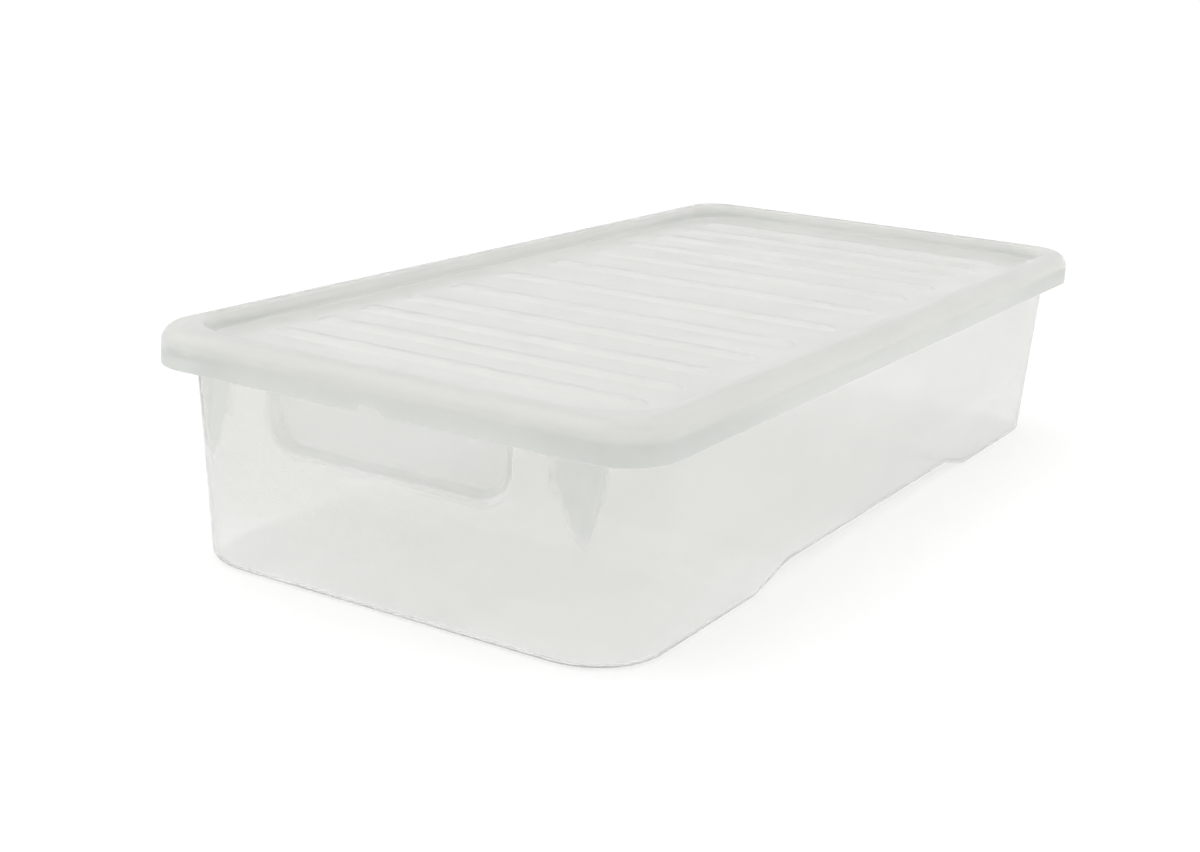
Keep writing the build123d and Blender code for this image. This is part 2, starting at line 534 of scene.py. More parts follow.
        # Rows that turn the wall into the rim: moves of the half length, the core and the height.
        turn_out = np.array(((-0.08, 0.0, -3.2), (0.12, 0.3, -2.55), (0.45, 1.2, -2.28), (0.8, 8.0, -2.22)))
        turn_in = np.array(((-0.55, 8.0, 0.0), (-0.8, 1.2, -0.03), (-1.35, 0.3, -0.3), (-1.85, 0.0, -0.95)))
        return np.vstack((
            band(self.body_core(0.0) + sole, self.body_core(0.0), 0.0, Skin.LOWER),
            self.body_band(foot_half, foot_rise, Skin.LOWER),
            self.body_band(wall_half, rise, Skin.LOWER),
            band(mouth_half + turn_out[:, 0], mouth + turn_out[:, 1], self.top + turn_out[:, 2], Skin.EDGE),
            band(hollow_half, rim_core, hollow_rise, Skin.EDGE),
            band(self.half_length - self.rim_wall, rim_core, lip_rise, Skin.EDGE),
            band(end_half, rim_core, end_rise, Skin.EDGE),
            band(self.half_length, rim_core, lip_rise[::-1], Skin.EDGE),
            band(crown_half, rim_core, crown_rise, Skin.EDGE),
            band(mouth_half + turn_in[:, 0], mouth + turn_in[:, 1], self.top + turn_in[:, 2], Skin.EDGE),
            self.body_band(wall_half[::-1] - self.wall, rise[::-1], Skin.UPPER),
            self.body_band(well_half[::-1], well_rise[::-1], Skin.UPPER),
            band(self.body_core(self.floor) + sole[::-1], self.body_core(self.floor), self.floor, Skin.UPPER),
        ))

    def form(self, cloud: Cloud) -> None:
        """Shape the arch, then the hand grips, then the corner pleats.

        Args:
            cloud: The moulding's points.
        """
        self.raise_arch(cloud)
        self.sink_grips(cloud)
        self.fold_pleats(cloud)

    def raise_arch(self, cloud: Cloud) -> None:
        """Lift the middle of the floor into the arch.

        The lift is slope times (ramp past the foot's fold less ramp past the top's fold). It is
        whole up to the base rounding and fades out up the wall, and each wall point slides along
        the draft. The upper skin keeps its thickness square to the slope.

        Args:
            cloud: The moulding's points.
        """
        slope = self.arch_height / (self.arch_foot - self.arch_top)
        past_foot, past_top = self.arch_foot - np.abs(cloud.x), self.arch_top - np.abs(cloud.x)
        lift = slope * (
            rounded_ramp(past_foot, self.arch_foot_round) - rounded_ramp(past_top, self.arch_top_round)
        )
        steep = slope * (
            smooth_step(past_foot / self.arch_foot_round / 2.0 + 0.5)
            - smooth_step(past_top / self.arch_top_round / 2.0 + 0.5)
        )
        lift = lift + np.where(cloud.skin == Skin.UPPER, self.floor * (np.hypot(1.0, steep) - 1.0), 0.0)
        whole = self.base_round + self.floor
        lift = lift * np.clip((self.arch_fade - cloud.z) / (self.arch_fade - whole), 0.0, 1.0)
        cloud.z = cloud.z + lift
        cloud.push(self.lean(lift))

    def sink_grips(self, cloud: Cloud) -> None:
        """Press the hand grips into the two short ends.

        A point moves in by the recess's depth times a soft step of its distance inside the
        outline, which is a rectangle with rounded lower corners. The back of the recess is upright.
        Painted shade darkens the recess, most of all along its edge, where the step s is half way: 4 s (1 -
        s).

        Args:
            cloud: The moulding's points.
        """
        grow = np.where(cloud.skin == Skin.UPPER, self.wall, 0.0)
        side = np.abs(cloud.y) - (self.grip_half - self.grip_corner)
        below = self.grip_bottom + self.grip_corner - cloud.z
        rounded = self.grip_corner - np.hypot(np.maximum(side, 0.0), np.maximum(below, 0.0))
        straight = np.minimum(self.grip_corner - side, self.grip_corner - below)
        inside = np.where((side > 0.0) & (below > 0.0), rounded, straight) + grow
        share = smooth_step((inside + self.grip_spill) / (self.grip_edge + self.grip_spill + grow))
        under_roof = self.grip_top + self.grip_roof + grow - cloud.z
        share = share * smooth_step(under_roof / (2.0 * self.grip_roof))
        depth = self.grip_depth - self.lean(self.grip_top - cloud.z)
        at_end = (np.abs(cloud.out_x) > SQUARE_ON) & (cloud.skin != Skin.EDGE)
        cloud.push(np.where(at_end, -depth * share, 0.0))
        # Painted shade in the grip recess, strongest along its edge.
        edge = 4.0 * share * (1.0 - share)
        painted_amount = np.maximum(share, self.grip_edge_painted_shade * edge)
        cloud.add_painted_shade(np.where(at_end, self.grip_painted_shade * painted_amount, 0.0))

    def fold_pleats(self, cloud: Cloud) -> None:
        """Fold a pleat of two facets into each corner, with its crease nearer the short end.

        From the corner's centre c, a point p outside the crease line has u = (p - c) along the
        crease's direction and v = (p - c) across it. A facet lies at u = r - bite + |v| tan(slope),
        and a point beyond it moves back along its own outward direction until it lies there. The
        bite and the slopes change evenly from the tip to the top, and then the pleat closes.

        Args:
            cloud: The moulding's points.
        """
        share = (cloud.z - self.pleat_tip) / (self.pleat_top - self.pleat_tip)
        grow = np.where(cloud.skin == Skin.UPPER, self.wall, 0.0)
        close = smooth_step((cloud.z - self.pleat_top - grow) / self.pleat_close)
        bite = self.pleat_depth * (share * (1.0 - close) - close)
        half_core = self.body_core(cloud.z)
        spare = self.half_length - self.half_width
        right, ahead = np.abs(cloud.x) - half_core, np.abs(cloud.y) - half_core + spare
        turn = np.radians(self.pleat_turn)
        along = right * np.cos(turn) + ahead * np.sin(turn)
        across = ahead * np.cos(turn) - right * np.sin(turn)
        level = np.clip(share, 0.0, 1.0)
        slopes = [
            np.tan(np.radians(tip + (top - tip) * level))
            for tip, top in (self.pleat_end_slopes, self.pleat_side_slopes)
        ]
        slope = np.where(across < 0.0, slopes[0], slopes[1])
        widening = self.mouth_corner - self.foot_corner
        corner = self.foot_corner + widening * cloud.z / (self.top - self.rim_wall)
        facet = corner - grow - bite + np.abs(across) * slope
        lean_in = np.abs(cloud.out_x) * np.cos(turn) + np.abs(cloud.out_y) * np.sin(turn)
        lean_across = np.abs(cloud.out_y) * np.cos(turn) - np.abs(cloud.out_x) * np.sin(turn)
        closing = np.maximum(lean_in - np.sign(across) * lean_across * slope, self.pleat_steepest)
        beyond = (along - facet) / closing
        move = soft_minimum(np.zeros_like(beyond), -beyond, self.pleat_round)
        turning = np.abs(cloud.out_x) > self.pleat_side_limit
        near = (across > -self.pleat_end_reach) & (along > 0.0) & turning
        folds = near & (cloud.skin != Skin.EDGE) & (share > -self.pleat_start)
        cloud.push(np.where(folds, move, 0.0))
        # Painted shade in the pleat's fold, growing with how far the wall moves in.
        painted_amount = self.pleat_painted_shade * smooth_step(-move / self.pleat_shade)
        cloud.add_painted_shade(np.where(folds, painted_amount, 0.0))


@dataclass
class Lid(Moulding):
    """The clip-on lid: a skirt, a rounded shoulder, and a sunk tray that twelve ribs cross.

    Attributes:
        bottom: Height of the skirt's lower edge.
        corner: Corner radius of the skirt.
        wall: Thickness of the skin.
        skirt_draft: Lean of the skirt, in degrees.
        shoulder: Radius over the shoulder.
        tray_depth: Depth of the tray under the crown.
        tray_inset: How far the tray's floor lies inside the skirt.
        tray_corner: Corner radius of the tray's floor.
        tray_draft: Lean of the tray's wall, in degrees.
        tray_round: Radius at the foot of the tray's wall.
        tray_edge: Radius over the top of the tray's wall.
        rib_gaps: Steps from the middle of the lid to each rib, along the box.
        rib_half: Half the width of a rib.
        rib_reach: Half the length of a rib.
        rib_height: Height of a rib.
        rib_flank: Width of the soft step on each side of a rib.
        bead_level: Height of the snap beads.
        bead_half: Half the height of a bead.
        bead_stand: How far a bead stands in from the skirt.
        bead_fade: Length in which a bead fades out at each end.
        end_bead: Place and half length of the beads on a short end.
        side_bead: Place and half length of the beads on a long side.
        notch_half: Half the width of a finger notch.
        notch_height: Height of a finger notch.
        notch_edge: Width of the soft step on each side of a notch.
        notch_fade: Height at which the skirt no longer follows the notch.
        crown_shade_fade: Height in which the painted shade on the tray's wall fades in.
        skirt_shade_fade: Height in which the painted shade on the skirt fades in.
        skirt_painted_shade: Strength of the painted shade on the straight sides, and at the corners.
        corner_shade_reach: How far from the end and from the side the corners' stronger painted shade starts.
        corner_shade_fade: Lengths in which it becomes whole.
    """

    bottom: float = 137.0
    corner: float = 39.0
    wall: float = 1.6
    skirt_draft: float = 1.0
    shoulder: float = 13.0
    tray_depth: float = 11.0
    tray_inset: float = 20.8
    tray_corner: float = 44.0
    tray_draft: float = 17.0
    tray_round: float = 3.0
    tray_edge: float = 3.2
    rib_gaps: tuple[float, ...] = (37.0, 68.0, 57.0, 54.0, 50.0, 47.0)
    rib_half: float = 11.0
    rib_reach: float = 148.0
    rib_height: float = 3.0
    rib_flank: float = 8.5
    bead_level: float = 143.2
    bead_half: float = 1.2
    bead_stand: float = 0.9
    bead_fade: float = 3.0
    end_bead: Pair = (33.0, 21.0)
    side_bead: Pair = (250.0, 30.0)
    notch_half: float = 10.0
    notch_height: float = 5.0
    notch_edge: float = 3.0
    notch_fade: float = 10.0
    crown_shade_fade: float = 3.0
    skirt_shade_fade: float = 8.0
    skirt_painted_shade: Pair = (0.5, 1.0)
    corner_shade_reach: Pair = (190.0, 120.0)
    corner_shade_fade: Pair = (150.0, 100.0)

    def lines(self) -> Lines:
        """Lay lines that follow the ribs across the tray and crowd at the finger notches.

        Returns:
            The lines along and across the lid.
        """
        ribs = both_signs(np.cumsum(self.rib_gaps))
        flank = both_signs(np.array([0.0, 3.6, 5.6, 6.8, 7.8, 8.7, 9.6, 10.4, 11.2, 12.2]))
        across_ribs = (ribs[:, None] + flank[None, :]).ravel()
        gaps = (ribs[:-1, None] + np.diff(ribs)[:, None] * np.array([[0.4, 0.5, 0.6]])).ravel()
        notch = np.array([0.0, 4.0, 6.6, 7.6, 8.4, 9.1, 9.8, 10.6, 11.6, 13.0])
        plain = np.array([20.0, 30.0, 42.0, 52.0, 56.0, 70.0, 85.0, 100.0, 114.0, 124.0])
        ends = np.array([-328.0, 328.0])
        along = np.unique(np.concatenate((across_ribs, gaps, ends)))
        return Lines(along, both_signs(np.concatenate((notch, plain))), 22)

    def rings(self) -> np.ndarray:
        """Draw the lid's section: under the tray, up and over into the skirt, and back over it.

        Returns:
            One row for each ring, as band gives them.
        """
        floor = self.top - self.tray_depth
        slant = np.radians(self.tray_draft)
        tray_half = self.half_length - self.tray_inset
        tray_core = tray_half - self.tray_corner
        core = self.half_length - self.corner
        dip_rise = floor + self.tray_round
        dip = (tray_half + self.tray_round * np.tan(slant) - self.tray_round / np.cos(slant), dip_rise)
        brow_rise = self.top - self.tray_edge
        brow_half = tray_half + (brow_rise - floor) * np.tan(slant) + self.tray_edge / np.cos(slant)
        brow = (brow_half, brow_rise)
        skirt = np.radians(self.skirt_draft)
        fall = self.top - self.shoulder - self.bottom
        shoulder = (
            self.half_length - fall * np.tan(skirt) - self.shoulder / np.cos(skirt),
            self.top - self.shoulder,
        )
        steps = np.array([0.0, *np.arange(2.0, 21.0, 2.0), 25.0, 31.0, 37.0])
        under = self.wall
        low_dip = arc(dip, self.tray_round + under, -90.0, -self.tray_draft, 5)
        low_brow = arc(brow, self.tray_edge - under, 180.0 - self.tray_draft, 90.0, 4)
        low_shoulder = arc(shoulder, self.shoulder - under, 90.0, self.skirt_draft, 9)
        high_shoulder = arc(shoulder, self.shoulder, self.skirt_draft, 90.0, 11)
        high_brow = arc(brow, self.tray_edge, 90.0, 180.0 - self.tray_draft, 6)
        high_dip = arc(dip, self.tray_round, -self.tray_draft, -90.0, 5)
        share = np.array([0.1, 0.35, 0.7, 0.95])
        band_half = brow_half + (shoulder[0] - brow_half) * share
        band_core = tray_core + (core - tray_core) * share
        edge_middle = (self.half_length - under / 2.0, self.bottom + under / 2.0)
        edge = arc(edge_middle, under / 2.0, 180.0, 360.0, 6)
        bead_rise = np.array([144.0, 143.6, 143.2, 142.8, 142.4])
        inner_rise = np.array([148.5, 146.5, 145.2, 144.5, *bead_rise, 141.9, 141.2, 139.6])
        inner_half = self.half_length - under - (inner_rise - self.bottom) * np.tan(skirt)
        outer_rise = np.array([139.2, 142.0, 145.0, 148.5])
        outer_half = self.half_length - (outer_rise - self.bottom) * np.tan(skirt)
        return np.vstack((
            band(tray_core + steps, tray_core, floor - under, Skin.LOWER),
            band(low_dip[0], tray_core, low_dip[1], Skin.LOWER),
            band(low_brow[0], tray_core, low_brow[1], Skin.LOWER),
            band(band_half, band_core, self.top - under, Skin.LOWER),
            band(low_shoulder[0], core, low_shoulder[1], Skin.LOWER),
            band(inner_half, core, inner_rise, Skin.LOWER),
            band(edge[0], core, edge[1], Skin.EDGE),
            band(outer_half, core, outer_rise, Skin.UPPER),
            band(high_shoulder[0], core, high_shoulder[1], Skin.UPPER),
            band(band_half[::-1], band_core[::-1], self.top, Skin.UPPER),
            band(high_brow[0], tray_core, high_brow[1], Skin.UPPER),
            band(high_dip[0], tray_core, high_dip[1], Skin.UPPER),
            band(tray_core + steps[::-1], tray_core, floor, Skin.UPPER),
        ))

    def form(self, cloud: Cloud) -> None:
        """Raise the ribs and the snap beads, cut the finger notches, and paint shade on the edges.

        Args:
            cloud: The moulding's points.
        """
        self.raise_ribs(cloud)
        self.raise_beads(cloud)
        self.cut_notches(cloud)
        self.shade_edges(cloud)

    def shade_edges(self, cloud: Cloud) -> None:
        """Paint shade on the tray's wall and the skirt, and most of all at the corners.

        Both get a soft step of the height below the crown, (top - fade - z) / fade, times a painted
        shade that goes from plain to corner with two more soft steps, one along and one across.

        Args:
            cloud: The moulding's points.
        """
        past_end, past_side = np.abs(cloud.x) - self.half_length, np.abs(cloud.y) - self.half_width
        tray_wall = smooth_step((self.top - self.crown_shade_fade - cloud.z) / self.crown_shade_fade)
        skirt = smooth_step((self.top - self.skirt_shade_fade - cloud.z) / self.skirt_shade_fade)
        outside = np.where(np.maximum(past_end, past_side) > -self.tray_inset, skirt, 0.0)
        share = np.where(cloud.radius > self.tray_corner, tray_wall, outside)
        near_end = smooth_step((past_end + self.corner_shade_reach[0]) / self.corner_shade_fade[0])
        near_side = smooth_step((past_side + self.corner_shade_reach[1]) / self.corner_shade_fade[1])
        plain, corner = self.skirt_painted_shade
        # Painted shade on the lid's skirt and tray wall, strongest at the corners.
        cloud.add_painted_shade(share * (plain + (corner - plain) * (near_end * near_side)))

    def raise_ribs(self, cloud: Cloud) -> None:
        """Raise twelve round-ended ribs on the tray's floor.

        The height is a soft step of the distance inside the rib's outline, d / flank. The lower
        skin follows at wall / cos(slope) below the upper one.

        Args:
            cloud: The moulding's points.
        """
        ribs = both_signs(np.cumsum(self.rib_gaps))
        off_x = np.min(np.abs(cloud.x[:, None] - ribs[None, :]), axis=1)
        off_y = np.maximum(np.abs(cloud.y) - (self.rib_reach - self.rib_half), 0.0)
        share = (self.rib_half - np.hypot(off_x, off_y)) / self.rib_flank
        rise = self.rib_height * smooth_step(share)
        v = np.clip(share, 0.0, 1.0)
        steep = self.rib_height * 6.0 * v * (1.0 - v) / self.rib_flank
        thin = np.where(cloud.skin == Skin.LOWER, self.wall * (np.hypot(1.0, steep) - 1.0), 0.0)
        floor = self.top - self.tray_depth
        on_floor = (cloud.z < floor + TOUCH) & (cloud.z > floor - self.wall - TOUCH)
        cloud.z = cloud.z + np.where(on_floor & (cloud.radius < self.tray_corner), rise - thin, 0.0)

    def raise_beads(self, cloud: Cloud) -> None:
        """Raise the snap beads inside the skirt.

        A bead stands in by its stand times sqrt(1 - d^2), where d is the distance from its level
        over its half height, times a soft step at each end.

        Args:
            cloud: The moulding's points.
        """
        off = np.clip(np.abs(cloud.z - self.bead_level) / self.bead_half, 0.0, 1.0)
        section = np.sqrt(1.0 - off * off)
        end_left = self.end_bead[1] - np.abs(np.abs(cloud.y) - self.end_bead[0])
        side_left = self.side_bead[1] - np.abs(np.abs(cloud.x) - self.side_bead[0])
        on_end = smooth_step(end_left / self.bead_fade)
        on_side = np.where(np.abs(cloud.out_y) > SQUARE_ON, smooth_step(side_left / self.bead_fade), 0.0)
        share = np.where(np.abs(cloud.out_x) > SQUARE_ON, on_end, on_side)
        inside = (cloud.skin == Skin.LOWER) & (cloud.z < self.bead_level + 2.0 * self.bead_half)
        cloud.push(np.where(inside, -self.bead_stand * section * share, 0.0))

    def cut_notches(self, cloud: Cloud) -> None:
        """Lift the skirt's edge into a finger notch in the middle of each short end.

        The lift is the notch's height times a soft step across its width, and it fades out evenly
        up the skirt.

        Args:
            cloud: The moulding's points.
        """
        width = smooth_step((self.notch_half + self.notch_edge / 3.0 - np.abs(cloud.y)) / self.notch_edge)
        left = self.bottom + self.notch_fade - cloud.z
        fade = np.clip(left / (self.notch_fade - 2.0 * self.wall), 0.0, 1.0)
        at_end = np.abs(cloud.out_x) > SQUARE_ON
        cloud.z = cloud.z + np.where(at_end, self.notch_height * width * fade, 0.0)


# Finishes


class Nodes:
    """The node tree of a material or of the world, with short ways to add and join nodes."""

    def __init__(self, owner: bpy.types.Material | bpy.types.World) -> None:
        """Empty the owner's tree and keep it.

        Args:
            owner: The material or the world to work on.
        """
        owner.use_nodes = True
        self.tree = owner.node_tree
        self.tree.nodes.clear()

    def add(
        self, kind: str, inputs: dict[str | int, object] | None = None, **settings: object
    ) -> bpy.types.Node:
        """Add a node.

        Args:
            kind: The node's type name.
            inputs: Values or sockets for its inputs, by name or number.
            settings: Values for the node's own settings.

        Returns:
            The new node.
        """
        node = self.tree.nodes.new(kind)
        for name, value in settings.items():
            setattr(node, name, value)
        for name, value in (inputs or {}).items():
            if isinstance(value, bpy.types.NodeSocket):
                self.tree.links.new(value, node.inputs[name])
            else:
                node.inputs[name].default_value = value
        return node

    def noise(self, place: bpy.types.NodeSocket, scale: float, **inputs: float) -> bpy.types.NodeSocket:
        """Return the value of a noise texture, with its scale and its other inputs by name."""
        named = {name.capitalize(): value for name, value in inputs.items()}
        return self.add("ShaderNodeTexNoise", {"Vector": place, "Scale": scale, **named}).outputs["Fac"]

    def stretch(
        self, place: bpy.types.NodeSocket, scale: tuple[float, float, float]
    ) -> bpy.types.NodeSocket:
        """Return places with each axis scaled by its own number."""
        return self.add("ShaderNodeMapping", {"Vector": place, "Scale": scale}).outputs[0]

    def span(
        self, value: bpy.types.NodeSocket, source: Pair, target: Pair, kind: str = "LINEAR"
    ) -> bpy.types.NodeSocket:
        """Return a value carried from one range to another, held at the ends.

        Args:
            value: The value's socket.
            source: Range that it comes in.
            target: Range that it goes out in.
            kind: LINEAR, or SMOOTHSTEP for a soft step.

        Returns:
            The new value's socket.
        """
        ends = {"From Min": source[0], "From Max": source[1], "To Min": target[0], "To Max": target[1]}
        node = self.add("ShaderNodeMapRange", {"Value": value, **ends}, interpolation_type=kind)
        return node.outputs["Result"]

    def math(self, kind: str, first: object, second: object) -> bpy.types.NodeSocket:
        """Return the result of a math node on two values."""
        return self.add("ShaderNodeMath", {0: first, 1: second}, operation=kind).outputs[0]

    def blend(self, share: bpy.types.NodeSocket, first: object, second: object) -> bpy.types.NodeSocket:
        """Return a colour that goes from the first to the second with the share."""
        return self.add("ShaderNodeMix", {0: share, 6: first, 7: second}, data_type="RGBA").outputs[2]

    def mix(self, share: object, first: bpy.types.Node, second: bpy.types.Node) -> bpy.types.Node:
        """Return a mix of two shaders that goes from the first to the second with the share."""
        return self.add("ShaderNodeMixShader", {0: share, 1: first.outputs[0], 2: second.outputs[0]})

    def bump(self, height: bpy.types.NodeSocket, distance: float, **inputs: object) -> bpy.types.NodeSocket:
        """Return normals that a height bumps, with the bump's other inputs by name."""
        named = {name.capitalize(): value for name, value in inputs.items()}
        return self.add("ShaderNodeBump", {"Height": height, "Distance": distance, **named}).outputs[0]


@dataclass(frozen=True)
class ClearPlastic:
    """Clear polypropylene: glossy, a little milky, faintly green where it is thick, and darkened by painted
    shade where a piece's attribute asks.

    Attributes:
        name: Name of the material.
        tint: Colour of the plastic.
        milk: Colour of the haze in it.
        haze: Share of light that the haze takes, least and most.
        roughness: Roughness where the tool was polished, and where the skin is scuffed.
        depth: Colour that long paths through the plastic turn to, and that the painted shade darkens the
            plastic toward.
        density: How quickly they do, per metre.
        veil: Share of a lamp's light that goes straight through one face.
        ripple: Height of the slow ripple in the skin, in metres.
        grain: Height of the fine grain in the skin, in metres.
        scuff_level: Heights between which the scuffs fade in, in metres.
        lightened_below: Heights between which the foot, painted lighter to lift the shade under the tub,
            turns into the milkier wall, in metres.
        lightened_foot_tint: Colour of the plastic in the foot, painted lighter.
        lightened_foot_haze: Share of the wall's haze that the foot painted lighter has.
        painted_shade_haze: Haze that the fullest painted shade adds on top.
        scuff_haze: Haze that a whole scuff has on top.
        chalk: Share of the haze that sends light back and not through.
        refraction: Refractive index.
        flow_stretch: Scale of the slow ripple along each axis.
        flow_scale: How fine the ripple is.
        cloud_scale: How fine the clouds in the haze are.
        grain_scale: How fine the grain is.
        scuff_stretch: How fine the scuffs are along each axis.
        scuff_onset: Noise between which a scuff starts and is whole.
        scuff_share: Share of the scuffs below their level and above it.
        scuff_most: Strength of a whole scuff.
        noise_range: Range that the ripple's and the clouds' noise mostly lies in.
    """

    name: str
    tint: Colour
    milk: Colour
    haze: Pair
    roughness: Pair
    depth: Colour
    density: float
    veil: float
    ripple: float
    grain: float
    scuff_level: Pair
    lightened_below: Pair
    lightened_foot_tint: Colour = (0.985, 0.985, 0.98, 1.0)
    lightened_foot_haze: float = 0.35
    painted_shade_haze: float = 0.25
    scuff_haze: float = 0.02
    chalk: float = 0.45
    refraction: float = 1.49
    flow_stretch: tuple[float, float, float] = (0.45, 1.0, 1.6)
    flow_scale: float = 14.0
    cloud_scale: float = 5.0
    grain_scale: float = 900.0
    scuff_stretch: tuple[float, float, float] = (220.0, 90.0, 220.0)
    scuff_onset: Pair = (0.45, 0.85)
    scuff_share: Pair = (0.15, 1.0)
    scuff_most: float = 0.2
    noise_range: Pair = (0.3, 0.7)

    def make(self) -> bpy.types.Material:
        """Make the material.

        Returns:
            The material, ready for a piece's slot.
        """
        material = bpy.data.materials.new(self.name)
        nodes = Nodes(material)
        place = nodes.add("ShaderNodeTexCoord").outputs["Object"]
        flow_place = nodes.stretch(place, self.flow_stretch)
        flow = nodes.noise(flow_place, self.flow_scale, detail=3.0, roughness=0.5)
        cloudy = nodes.noise(place, self.cloud_scale, detail=2.0)
        fine = nodes.noise(place, self.grain_scale, detail=1.0)
        rub = nodes.noise(nodes.stretch(place, self.scuff_stretch), 1.0, detail=2.0)
        height = nodes.add("ShaderNodeSeparateXYZ", {0: place}).outputs["Z"]
        crest = nodes.span(height, self.scuff_level, self.scuff_share)
        scuff = nodes.math("MULTIPLY", nodes.span(rub, self.scuff_onset, (0.0, self.scuff_most)), crest)
        polished = (self.roughness[0], 0.5 * sum(self.roughness))
        smooth = nodes.span(flow, self.noise_range, polished)
        rough = nodes.math("MAXIMUM", smooth, nodes.span(scuff, (0.0, 1.0), self.roughness))
        # Painted shade: the attribute blends the plastic toward the depth colour and adds haze.
        painted_shade = nodes.add("ShaderNodeAttribute", attribute_name=PAINTED_SHADE).outputs["Fac"]
        # Painted light: the lowest part of the tub is drawn whiter and clearer, lifting the shade under it.
        lightened_foot_fade = nodes.span(height, self.lightened_below, (0.0, 1.0))
        haze = nodes.span(cloudy, self.noise_range, self.haze)
        haze = nodes.math("ADD", haze, nodes.math("MULTIPLY", scuff, self.scuff_haze))
        haze = nodes.math("ADD", haze, nodes.math("MULTIPLY", painted_shade, self.painted_shade_haze))
        haze = nodes.math("MULTIPLY", haze, nodes.span(lightened_foot_fade, (0.0, 1.0), (self.lightened_foot_haze, 1.0)))
        milky = nodes.blend(painted_shade, self.milk, self.depth)
        glassy = nodes.blend(painted_shade, nodes.blend(lightened_foot_fade, self.lightened_foot_tint, self.tint), self.depth)
        bump = nodes.bump(fine, self.grain, normal=nodes.bump(flow, self.ripple))
        clear = nodes.add(
            "ShaderNodeBsdfPrincipled",
            {
                "Base Color": glassy,
                "Roughness": rough,
                "IOR": self.refraction,
                "Transmission Weight": 1.0,
                "Normal": bump,
            },
        )
        milk = nodes.add("ShaderNodeBsdfTranslucent", {"Color": milky, "Normal": bump})
        chalk = nodes.add("ShaderNodeBsdfDiffuse", {"Color": milky, "Normal": bump})
        body = nodes.mix(haze, clear, nodes.mix(self.chalk, milk, chalk))
        shadow = nodes.add("ShaderNodeLightPath").outputs["Is Shadow Ray"]
        through = nodes.add("ShaderNodeBsdfTransparent")
        surface = nodes.mix(nodes.math("MULTIPLY", shadow, self.veil), body, through)
        inside = nodes.add("ShaderNodeVolumeAbsorption", {"Color": self.depth, "Density": self.density})
        nodes.add("ShaderNodeOutputMaterial", {"Surface": surface.outputs[0], "Volume": inside.outputs[0]})
        return material


TUB_PLASTIC = ClearPlastic(
    name="clear_tub_plastic",
    tint=(0.92, 0.918, 0.905, 1.0),
    milk=(0.725, 0.725, 0.712, 1.0),
    haze=(0.20, 0.28),
    roughness=(0.10, 0.25),
    depth=(0.715, 0.73, 0.710, 1.0),
    density=16.0,
    veil=1.0,
    ripple=0.0006,
    grain=0.000012,
    scuff_level=(0.060, 0.0),
    # Painted light: the tub's lowest 60 mm is drawn whiter and clearer.
    lightened_below=(0.004, 0.060),
)
LID_PLASTIC = ClearPlastic(
    name="clear_lid_plastic",
    tint=(0.94, 0.938, 0.925, 1.0),
    milk=(0.81, 0.81, 0.795, 1.0),
    haze=(0.30, 0.40),
    roughness=(0.14, 0.30),
    depth=(0.715, 0.73, 0.710, 1.0),
    density=16.0,
    veil=0.9,
    ripple=0.0005,
    grain=0.000012,
    scuff_level=(0.154, 0.156),
    lightened_below=(0.0, 0.001),
)


# Studio


def direction(azimuth: float, elevation: float) -> Vector:
    """Return the direction (sin a cos e, -cos a cos e, sin e) of an azimuth and an elevation.

    Args:
        azimuth: Angle a from -Y toward +X, in degrees.
        elevation: Angle e above the horizon, in degrees.

    Returns:
        The direction, with length 1.
    """
    turn, rise = np.radians((azimuth, elevation))
    return Vector((np.sin(turn) * np.cos(rise), -np.cos(turn) * np.cos(rise), np.sin(rise)))


@dataclass(frozen=True)
class Viewpoint:
    """The camera, which looks at a point near the box's middle.

    Attributes:
        azimuth: Direction that it stands in, in degrees from -Y toward +X.
        elevation: Height above the horizon, in degrees.
        roll: Tilt about its own line of sight, in degrees.
        distance: Distance to the point that it looks at, in metres.
        target: The point that it looks at, in metres.
        lens: Focal length, in millimetres.
        sensor: Width of the sensor, in millimetres.
        clip: Nearest and furthest distance that it sees, in metres.
    """

    azimuth: float
    elevation: float
    roll: float
    distance: float
    target: tuple[float, float, float]
    lens: float
    sensor: float = 36.0
    clip: Pair = (0.05, 100.0)

    def place(self) -> None:
        """Make the camera and hand it to the scene."""
        roll = np.radians(self.roll)
        back = direction(self.azimuth, self.elevation)
        right = (-back).cross(Vector((0.0, 0.0, 1.0))).normalized()
        above = right.cross(-back)
        level_right = np.cos(roll) * right + np.sin(roll) * above
        level_up = -np.sin(roll) * right + np.cos(roll) * above
        data = bpy.data.cameras.new("camera")
        data.sensor_width, data.lens = self.sensor, self.lens
        data.clip_start, data.clip_end = self.clip
        camera = bpy.data.objects.new("camera", data)
        turned = Matrix((level_right, level_up, back)).transposed().to_4x4()
        camera.matrix_world = Matrix.Translation(Vector(self.target) + back * self.distance) @ turned
        bpy.context.scene.collection.objects.link(camera)
        bpy.context.scene.camera = camera


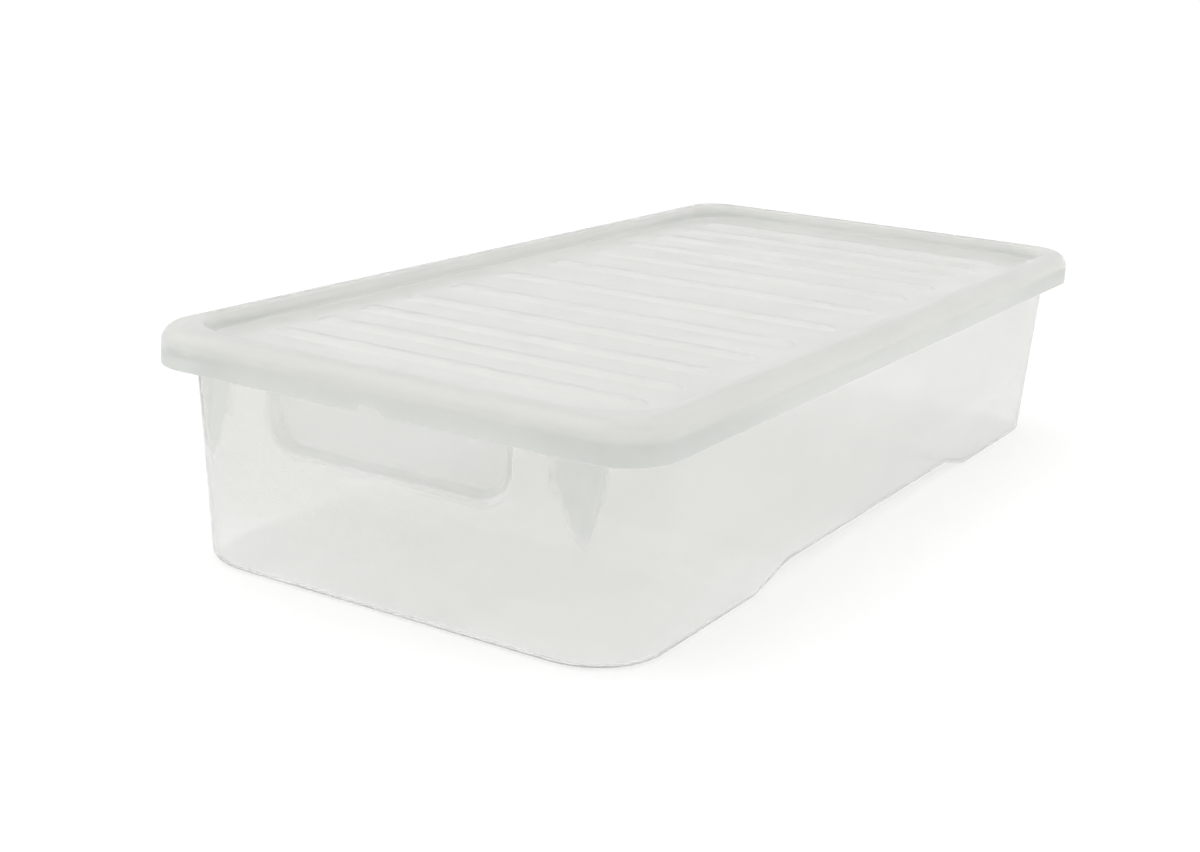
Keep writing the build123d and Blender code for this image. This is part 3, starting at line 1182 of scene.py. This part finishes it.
@dataclass(frozen=True)
class Studio:
    """A plain white studio: a pale floor and soft light from all around.

    Attributes:
        floor_half: Half the side of the floor, in metres.
        floor_gap: How far the floor lies under the feet, in metres.
        floor_colour: Colour of the floor.
        walls: Light from the walls.
        ceiling: Light from the ceiling.
        ceiling_fade: Upward directions between which the walls turn into the ceiling.
        window_azimuth: Direction of the window, in degrees from -Y toward +X.
        window_elevation: Its height above the horizon, in degrees.
        window_light: Light that it gives on top.
        window_fade: How squarely a direction faces it where its edge starts and ends.
    """

    floor_half: float = 30.0
    floor_gap: float = 0.0004
    floor_colour: Colour = (0.955, 0.955, 0.955, 1.0)
    walls: float = 1.24
    ceiling: float = 1.4
    ceiling_fade: Pair = (0.1, 0.9)
    window_azimuth: float = -150.0
    window_elevation: float = 48.0
    window_light: float = 0.7
    window_fade: Pair = (0.80, 0.97)

    def build(self) -> None:
        """Lay the floor and light the room."""
        self.lay_floor()
        self.light_room()
        bpy.context.scene.view_settings.view_transform = "Standard"

    def lay_floor(self) -> None:
        """Lay the matt floor."""
        half, low = self.floor_half, -self.floor_gap
        corners = [(-half, -half, low), (half, -half, low), (half, half, low), (-half, half, low)]
        mesh = bpy.data.meshes.new("floor")
        mesh.from_pydata(corners, [], [(0, 1, 2, 3)])
        material = bpy.data.materials.new("pale_floor")
        nodes = Nodes(material)
        matt = nodes.add("ShaderNodeBsdfDiffuse", {"Color": self.floor_colour})
        nodes.add("ShaderNodeOutputMaterial", {"Surface": matt.outputs[0]})
        mesh.materials.append(material)
        floor = bpy.data.objects.new("floor", mesh)
        bpy.context.scene.collection.objects.link(floor)

    def light_room(self) -> None:
        """Light the room: bright walls, a brighter ceiling and one soft window behind the box."""
        world = bpy.data.worlds.new("white_room")
        bpy.context.scene.world = world
        nodes = Nodes(world)
        outlook = nodes.add("ShaderNodeTexCoord").outputs["Generated"]
        upward = nodes.add("ShaderNodeSeparateXYZ", {0: outlook}).outputs["Z"]
        room = nodes.span(upward, self.ceiling_fade, (self.walls, self.ceiling), "SMOOTHSTEP")
        toward = direction(self.window_azimuth, self.window_elevation)
        facing = nodes.add("ShaderNodeVectorMath", {0: outlook, 1: toward}, operation="DOT_PRODUCT")
        glow = nodes.span(facing.outputs["Value"], self.window_fade, (0.0, self.window_light), "SMOOTHSTEP")
        light = nodes.add("ShaderNodeBackground", {"Strength": nodes.math("ADD", room, glow)})
        nodes.add("ShaderNodeOutputWorld", {"Surface": light.outputs[0]})


def dress(piece: bpy.types.Object, finish: ClearPlastic, node: str, body: Body) -> None:
    """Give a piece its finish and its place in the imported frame.

    Args:
        piece: The finished piece.
        finish: The finish that it gets.
        node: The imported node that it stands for.
        body: The body that it rides on.
    """
    piece.data.materials.append(finish.make())
    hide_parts(node)
    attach(piece, body.value)
    logger.info("%s: %d faces on %s", piece.name, len(piece.data.polygons), body.value)


def main() -> None:
    logging.basicConfig(level=logging.INFO, format="%(message)s")
    Studio().build()
    Viewpoint(
        azimuth=-59.195,
        elevation=15.840,
        roll=2.852,
        distance=1.28436,
        target=(-0.14952, -0.01820, 0.080),
        lens=53.11,
    ).place()

    _, tub_high = (Vector(corner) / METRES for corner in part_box("tub"))
    lid_low, lid_high = (Vector(corner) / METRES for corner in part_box("lid"))
    tub = Tub("tub_moulding", *tub_high)
    dress(tub.build(), TUB_PLASTIC, "tub", Body.TUB)
    lid = Lid("lid_moulding", *lid_high, bottom=lid_low.z)
    dress(lid.build(), LID_PLASTIC, "lid", Body.LID)


if __name__ == "__main__":
    main()
